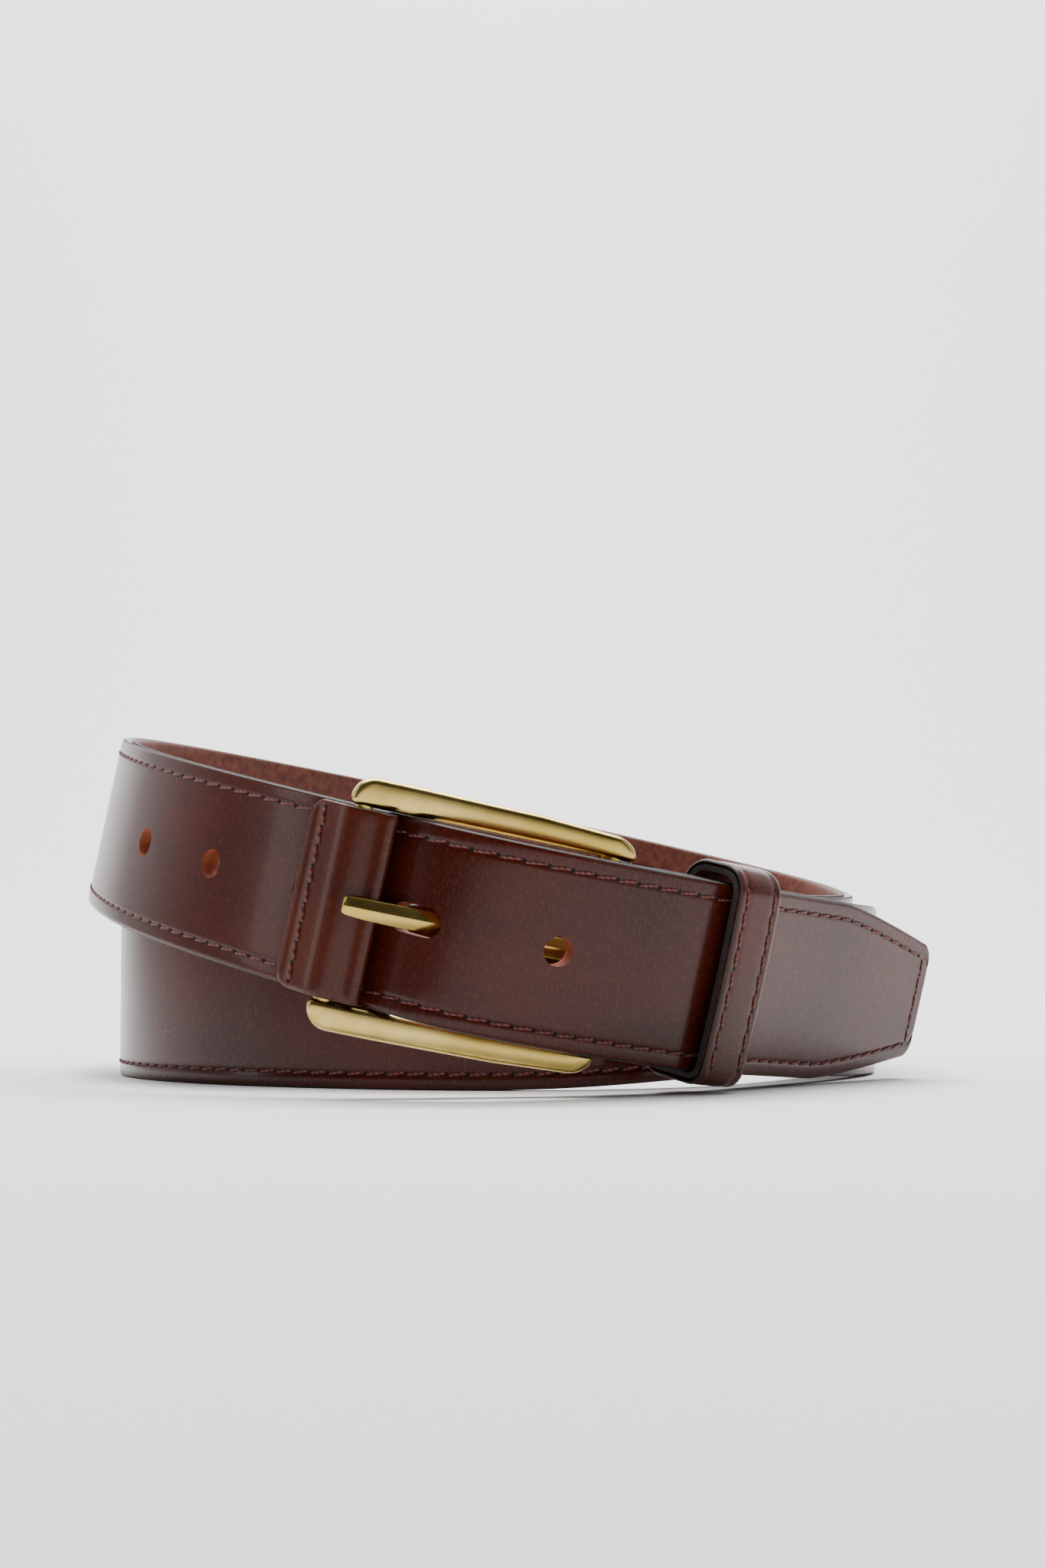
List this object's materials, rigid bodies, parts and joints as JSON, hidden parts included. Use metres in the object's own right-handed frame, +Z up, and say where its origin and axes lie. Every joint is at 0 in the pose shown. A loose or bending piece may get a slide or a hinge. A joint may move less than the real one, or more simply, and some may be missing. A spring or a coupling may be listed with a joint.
{
  "type": "leather belt",
  "caption": "Stitched leather belt with a brass prong buckle and loose keeper, buckled into a coil standing on its edge.",
  "frame": {"origin": "middle of the belt's bounding box on the floor", "axes": "+Z up from the floor; the buckle faces -Y; +X runs along the front of the coil towards the tip; +Y from the front of the coil to its back"},
  "size_m": [0.1774, 0.2176, 0.074],
  "materials": {
    "face_leather": "dark oxblood brown leather, polished to a high gloss, fine creases, edges painted black",
    "lining_leather": "reddish tan lining leather, smooth, low sheen",
    "stitching_thread": "reddish brown polyester thread, slightly glossy",
    "antiqued_brass": "antiqued cast brass, softly polished, darker in the recesses"
  },
  "bodies": {
    "strap": {"strap_face": "face_leather", "strap_lining": "lining_leather", "edge_stitching_upper": "stitching_thread", "edge_stitching_lower": "stitching_thread", "turn_back_stitching_near": "stitching_thread", "turn_back_stitching_far": "stitching_thread", "buckle_frame": "antiqued_brass", "bar_sleeve": "face_leather", "sleeve_stitching": "stitching_thread"},
    "prong": {"prong": "antiqued_brass"},
    "keeper": {"keeper_face": "face_leather", "keeper_lining": "lining_leather", "keeper_stitching_near": "stitching_thread", "keeper_stitching_far": "stitching_thread"},
    "tail_end": {"tail_end_face": "face_leather", "tail_end_lining": "lining_leather", "tail_end_stitching_upper": "stitching_thread", "tail_end_stitching_lower": "stitching_thread", "tail_end_stitching_tip": "stitching_thread"}
  },
  "joints": [
    {"name": "prong_lift", "type": "hinge", "parent": "strap", "child": "prong", "pos_m": [0.01736, -0.09231, 0.02567], "axis": [0.2124, -0.0731, 0.9744], "range_deg": [0, 2.5]},
    {"name": "keeper_slide", "type": "slide", "parent": "strap", "child": "keeper", "axis": [0.6681, 0.7386, -0.0904], "range_m": [-0.0005, 0.003]},
    {"name": "tail_end_flex", "type": "hinge", "parent": "strap", "child": "tail_end", "pos_m": [0.05408, -0.06814, 0.01948], "axis": [-0.2124, 0.0731, -0.9744], "range_deg": [0, 35], "stiffness_Nm_per_rad": 0.05}
  ]
}
